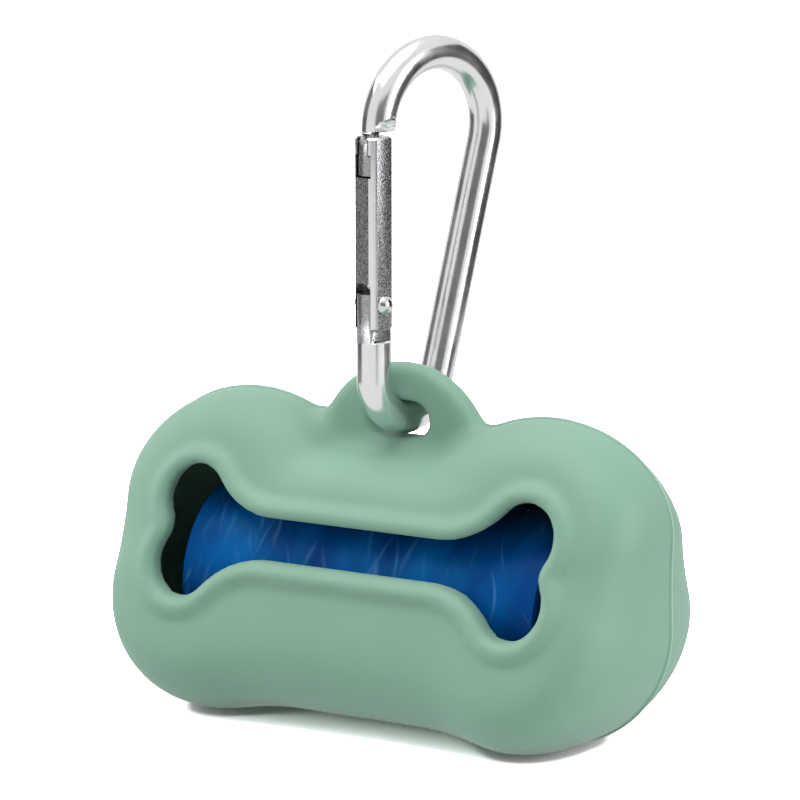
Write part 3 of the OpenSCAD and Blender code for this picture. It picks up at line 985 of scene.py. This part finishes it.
@dataclass
class BagRoll:
    """The wound roll of bags on its cardboard core.

    A fold has its middle along X, a length in radians round the roll, a width in millimetres, and a
    slant and a curve in millimetres per radian and per square radian.
    """

    film: FilmFinish = FilmFinish()
    cardboard: CardboardFinish = CardboardFinish()
    centre: Place = (0.0, 1.41789, 19.356)
    radius: float = 15.0
    length: float = 61.0
    core_r: float = 6.5
    turns: float = 17.0
    winding_d: float = 0.34
    around: int = 300
    along: int = 300
    folds: int = 560
    seed: int = 7
    fold_x: float = 30.0
    fold_length: Pair = (0.06, 0.3)
    fold_width: Pair = (0.16, 0.5)
    fold_slant: Pair = (0.6, 4.0)
    fold_curve: float = 8.0
    fold_least: float = 0.15
    crease_h: float = 0.1
    end_shares: Pair = (0.7, 0.97)
    winding_gap: float = 0.3

    def creases(self, angle: np.ndarray, x: np.ndarray) -> np.ndarray:
        """Gives how strongly a crease shows at each point, from 0 to 1, as height and as painted highlight.
        """
        rng = np.random.default_rng(self.seed)
        strength = np.zeros(np.broadcast(angle, x).shape)
        for _ in range(self.folds):
            middle, bearing = rng.uniform(-self.fold_x, self.fold_x), rng.uniform(0, 2 * math.pi)
            length, width = rng.uniform(*self.fold_length), rng.uniform(*self.fold_width)
            slant, share = rng.normal(*self.fold_slant), rng.uniform(self.fold_least, 1) ** 2
            curve = rng.normal(0, self.fold_curve)
            off = (angle - bearing + math.pi) % (2 * math.pi) - math.pi
            across = (x - middle - slant * off - curve * off**2) / width
            ridge = np.exp(-(across**2) - (off / length) ** 2)
            strength = np.maximum(strength, ridge * share)
        # Patches where the creases, with their painted highlights, show more or less.
        drawn = 0.5 + 0.5 * np.sin(0.23 * x + 2 * np.sin(angle)) * np.cos(2 * angle + 0.11 * x)
        strength *= 0.25 + 0.75 * drawn
        return strength

    def build(self, nodes: dict) -> None:
        """Makes the film and the core and dresses them."""
        angle = np.linspace(0, 2 * math.pi, self.around, endpoint=False)[None, :]
        x = np.linspace(-self.length / 2, self.length / 2, self.along)[:, None]
        crease_and_painted_glint = self.creases(angle, x)
        r = self.radius + (crease_and_painted_glint - 0.5) * self.crease_h
        wall = np.stack([x + 0 * angle, r * np.cos(angle), r * np.sin(angle)], axis=-1)
        shares = (self.core_r / self.radius, *self.end_shares)
        rings = [wall[0] * (1, share, share) for share in shares]
        rings += list(wall)
        rings += [wall[-1] * (1, share, share) for share in shares[::-1]]
        points = np.concatenate(rings) + self.centre
        faces = ring_quads(len(rings), self.around).tolist()
        piece = mesh_object("bag_film_roll", points, faces)
        level = np.zeros(len(points))
        end = len(shares) * self.around
        level[end:-end] = crease_and_painted_glint.ravel()
        # The crease values go on the mesh, and the film's material paints highlights from them.
        piece.data.attributes.new("crease_and_painted_glint", "FLOAT", "POINT").data.foreach_set("value", level)
        finish_piece(piece, "roll", ("bag_roll",), [self.film.material()])
        radii = (self.core_r + self.winding_gap, self.radius - self.winding_gap - self.crease_h / 2)
        for end in End:
            film = self.film.material()
            place = (self.centre[0] + end.value * self.length / 2, *self.centre[1:])
            spiral = winding(
                f"film_winding_{end.name.lower()}", self.turns, radii, self.winding_d, place, film)
            finish_piece(spiral, "roll", (), [film])
        core = merged_copy(nodes["roll_core"], "cardboard_core", 30)
        finish_piece(core, "roll", ("roll_core",), [self.cardboard.material()])


@dataclass(frozen=True)
class Flag:
    """A dark card that only metal shows, between two bearings from the camera's, in degrees.

    It reaches from low to high, in millimetres over the floor.
    """

    start: float
    end: float
    low: float
    high: float
    grey: float


@dataclass(frozen=True)
class Lamp:
    """A soft rectangular lamp, with its place and size in metres and its power in watts."""

    name: str
    place: Place
    size: Pair
    power: float


@dataclass
class Studio:
    """Floor, soft lamps, pale surroundings and the camera.

    To the camera the floor is paler than white, so that only the part's shadow shows on it. To
    reflections it is an even glow. The fill is darkest from below, and metal shows the gloss.
    """

    aim: Place = MIDDLE
    azimuth: float = 31.0
    elevation: float = 12.5
    distance: float = 619.0
    focal_px: float = 4085.0
    centre_px: Pair = (405.3, 543.65)
    picture_px: int = 800
    sensor: float = 36.0
    clip_m: Pair = (0.01, 50.0)
    floor_half: float = 6000.0
    floor_grey: float = 0.72
    floor_seen: Rgb = (4.6, 3.95, 4.3)
    floor_glow: float = 0.95
    # Reach of the shade painted into the floor's colour near the part.
    contact: float = 1.6
    fill: float = 0.66
    horizon: float = 0.3
    gloss: float = 0.9
    flags: tuple[Flag, ...] = (
        Flag(-128, -86, 0, 250, 0.06), Flag(71, 128, 0, 250, 0.06), Flag(12, 26, 0, 60, 0.4),
        Flag(-22, 30, 60, 210, 0.2),
    )
    flag_r: float = 250.0
    flag_steps: int = 8
    lamps: tuple[Lamp, ...] = (
        Lamp("overhead", (-0.1, -0.15, 0.9), (0.8, 0.8), 6.1),
        Lamp("left_window", (-0.9, -0.3, 0.42), (0.5, 0.7), 3.6),
        Lamp("right_window", (0.9, 0.1, 0.32), (0.4, 0.6), 4.2),
    )

    def camera(self) -> None:
        """Sets the camera where the picture was taken from."""
        azimuth, elevation = math.radians(self.azimuth), math.radians(self.elevation)
        back = Vector((math.sin(azimuth) * math.cos(elevation),
                       -math.cos(azimuth) * math.cos(elevation), math.sin(elevation)))
        data = bpy.data.cameras.new("camera")
        data.sensor_width = self.sensor
        data.lens = self.focal_px / self.picture_px * self.sensor
        data.shift_x = (self.picture_px / 2 - self.centre_px[0]) / self.picture_px
        data.shift_y = (self.centre_px[1] - self.picture_px / 2) / self.picture_px
        data.clip_start, data.clip_end = self.clip_m
        camera = linked("camera", data)
        camera.location = (Vector(self.aim) + back * self.distance) * MM
        camera.rotation_mode = "QUATERNION"
        camera.rotation_quaternion = (-back).to_track_quat("-Z", "Y")
        bpy.context.scene.camera = camera

    def hang(self, lamp: Lamp) -> None:
        """Hangs a lamp that looks at the middle of the part."""
        data = bpy.data.lights.new(lamp.name, "AREA")
        data.shape, data.size, data.size_y, data.energy = "RECTANGLE", *lamp.size, lamp.power
        hung = linked(lamp.name, data)
        hung.location = lamp.place
        hung.rotation_mode = "QUATERNION"
        hung.rotation_quaternion = (Vector(self.aim) * MM - Vector(lamp.place)).to_track_quat("-Z", "Y")

    def floor(self) -> None:
        """Lays the pale floor, which keeps the part's soft shadow, with shade painted in where they touch.
        """
        half = self.floor_half
        corners = [(-half, -half, 0), (half, -half, 0), (half, half, 0), (-half, half, 0)]
        floor = mesh_object("floor", np.array(corners), [(0, 1, 2, 3)], False)
        shader = Shader("pale_floor")
        grey = (*(self.floor_grey,) * 3, 1)
        shader.dress(Base_Color=grey, Roughness=0.9, Specular_IOR_Level=0.0)
        path = shader.node("ShaderNodeLightPath")
        # An ambient-occlusion ramp paints shade into the floor's colour within a short reach of the part.
        near = shader.node("ShaderNodeAmbientOcclusion", Distance=self.contact * MM, samples=16)
        painted_contact_shade = shader.ramp(near.outputs["AO"], [(0.5, 0.3), (0.95, 1.0)])
        painted_contact_shade = shader.join("ShaderNodeVectorMath", 0, painted_contact_shade, self.floor_seen, operation="MULTIPLY")
        seen = shader.node("ShaderNodeBsdfDiffuse", Color=painted_contact_shade.outputs["Vector"])
        glow = shader.node("ShaderNodeEmission", Strength=self.floor_glow)
        matte = shader.surface.outputs["BSDF"]
        look = shader.blend(path.outputs["Is Camera Ray"], matte, seen.outputs["BSDF"])
        look = shader.blend(path.outputs["Is Glossy Ray"], look, glow.outputs["Emission"])
        shader.feed(look, shader.tree.nodes["Material Output"].inputs["Surface"])
        floor.data.materials.append(shader.material)

    def stand_flag(self, number: int, flag: Flag) -> None:
        """Stands one card on an arc round the part, hidden from all but glossy rays."""
        row = self.flag_steps + 1
        bearing = np.radians(np.linspace(flag.start, flag.end, row) + self.azimuth)
        foot = np.stack([np.sin(bearing), -np.cos(bearing)], axis=1) * self.flag_r
        points = [(*p, z) for z in (flag.low, flag.high) for p in foot]
        faces = [(k + 1, k, k + row, k + row + 1) for k in range(self.flag_steps)]
        card = mesh_object(f"flag_{number}", np.array(points), faces, False)
        shader = Shader(f"flag_{number}")
        shader.dress(Base_Color=(flag.grey,) * 3 + (1,), Roughness=1.0, Specular_IOR_Level=0.0)
        card.data.materials.append(shader.material)
        card.visible_camera = card.visible_diffuse = card.visible_shadow = False
        card.visible_transmission = False

    def surroundings(self) -> None:
        """Sets a white view, a soft grey fill that is darker low down, and what the metal shows."""
        world = bpy.data.worlds.new("studio")
        bpy.context.scene.world = world
        world.use_nodes = True
        world.node_tree.nodes.clear()
        air = NodeTree(world.node_tree)
        path = air.node("ShaderNodeLightPath")
        rays = (path.outputs[name] for name in ("Is Camera Ray", "Is Transmission Ray"))
        shown = air.join("ShaderNodeMath", 0, *rays, operation="MAXIMUM")
        place = air.node("ShaderNodeTexCoord").outputs["Generated"]
        height = air.node("ShaderNodeSeparateXYZ", Vector=place).outputs["Z"]
        greys = air.ramp(height, [(0.0, self.horizon), (0.8, 1.0)])
        fill = air.node("ShaderNodeBackground", Color=greys, Strength=self.fill)
        view = air.node("ShaderNodeBackground", Color=(1, 1, 1, 1))
        gloss = air.node("ShaderNodeBackground", Color=(*(self.gloss,) * 3, 1))
        look = air.blend(shown.outputs["Value"], fill.outputs["Background"], view.outputs["Background"])
        look = air.blend(path.outputs["Is Glossy Ray"], look, gloss.outputs["Background"])
        air.node("ShaderNodeOutputWorld", Surface=look)

    def build(self) -> None:
        """Sets up the studio."""
        self.camera()
        self.floor()
        self.surroundings()
        for number, flag in enumerate(self.flags):
            self.stand_flag(number, flag)
        for lamp in self.lamps:
            self.hang(lamp)
        bpy.context.scene.view_settings.view_transform = "Standard"


def main() -> None:
    """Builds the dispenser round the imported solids."""
    logging.basicConfig(level=logging.INFO, format="%(message)s")
    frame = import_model()
    Studio().build()
    joints = {joint["name"]: joint for joint in frame["joints"]}
    swing, spin = (tuple(v / MM for v in joints[name]["pos_m"]) for name in ("hook_swing", "roll_spin"))
    Moulding(middle=(0.0, swing[1], MIDDLE[2])).build()
    BagRoll(centre=spin).build(frame["nodes"])
    Hook(frame["nodes"], joints).build()


if __name__ == "__main__":
    main()
